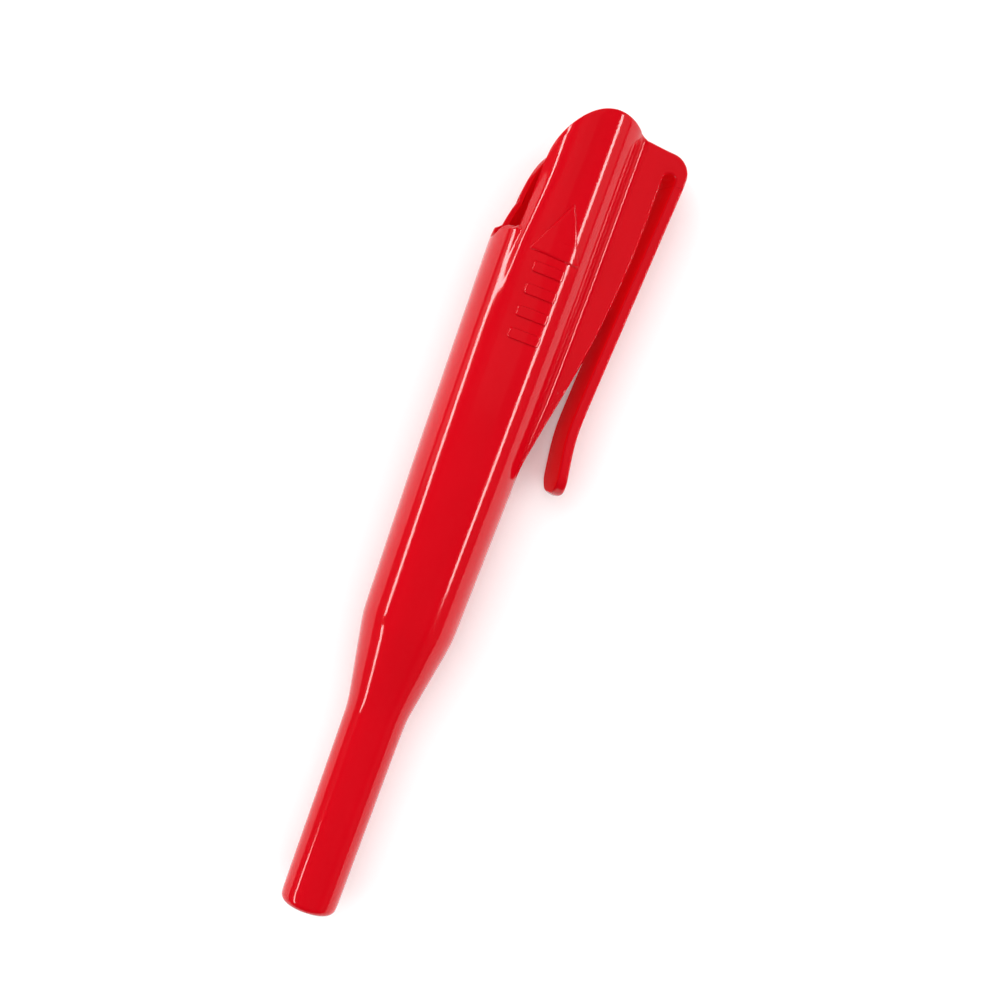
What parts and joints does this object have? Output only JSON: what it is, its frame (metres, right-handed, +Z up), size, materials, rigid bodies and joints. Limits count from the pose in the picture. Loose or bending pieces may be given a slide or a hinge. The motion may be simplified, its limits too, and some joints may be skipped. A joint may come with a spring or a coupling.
{
  "type": "construction marking pencil",
  "caption": "Deep-hole marking pencil with a clutch for a thick lead, stored in a red plastic holster with a thumb notch and a pocket clip.",
  "frame": {"origin": "on the table, under the middle of the part's bounding box as it lies on its side", "axes": "+Y along the part from the holster's nose to its mouth, +X to the pocket clip's side, +Z up from the table to the face with the arrow"},
  "size_m": [0.0268, 0.1386, 0.019],
  "materials": {
    "red_plastic": "polished injection-moulded plastic",
    "button_plastic": "moulded plastic with finger grooves",
    "black_plastic": "fine-textured moulded plastic",
    "grip_rubber": "soft ribbed rubber",
    "steel": "fine drawn finish",
    "brass": "turned",
    "lead": "smooth graphite"
  },
  "bodies": {
    "holster": {"holster": "red_plastic"},
    "clip": {"clip_strip": "red_plastic"},
    "pencil": {"barrel": "black_plastic", "grip_sleeve": "grip_rubber", "nose_cone": "black_plastic", "nose_tube": "steel", "tip_guide": "brass", "clutch_ring": "brass", "spring_seat": "steel", "return_spring": "steel", "rear_bush": "black_plastic"},
    "push_rod": {"push_button": "button_plastic", "lead_tube": "brass", "collet": "brass", "spring_collar": "brass"},
    "lead": {"lead": "lead"}
  },
  "joints": [
    {"name": "clip_flex", "type": "hinge", "parent": "holster", "child": "clip", "pos_m": [0.01129, 0.06229, 0.00586], "axis": [0.2324, -0.0161, 0.9725], "range_deg": [0, 4], "stiffness_Nm_per_rad": 4},
    {"name": "pencil_slide", "type": "slide", "parent": "holster", "child": "pencil", "axis": [0, 0.9999, 0.0166], "range_m": [0, 0.14]},
    {"name": "button_push", "type": "slide", "parent": "pencil", "child": "push_rod", "axis": [0, -0.9999, -0.0166], "range_m": [0, 0.0034], "stiffness_N_per_m": 250, "springref_m": -0.003, "deforming": ["return_spring"]},
    {"name": "lead_feed", "type": "slide", "parent": "push_rod", "child": "lead", "axis": [0, -0.9999, -0.0166], "range_m": [0, 0.05]}
  ]
}
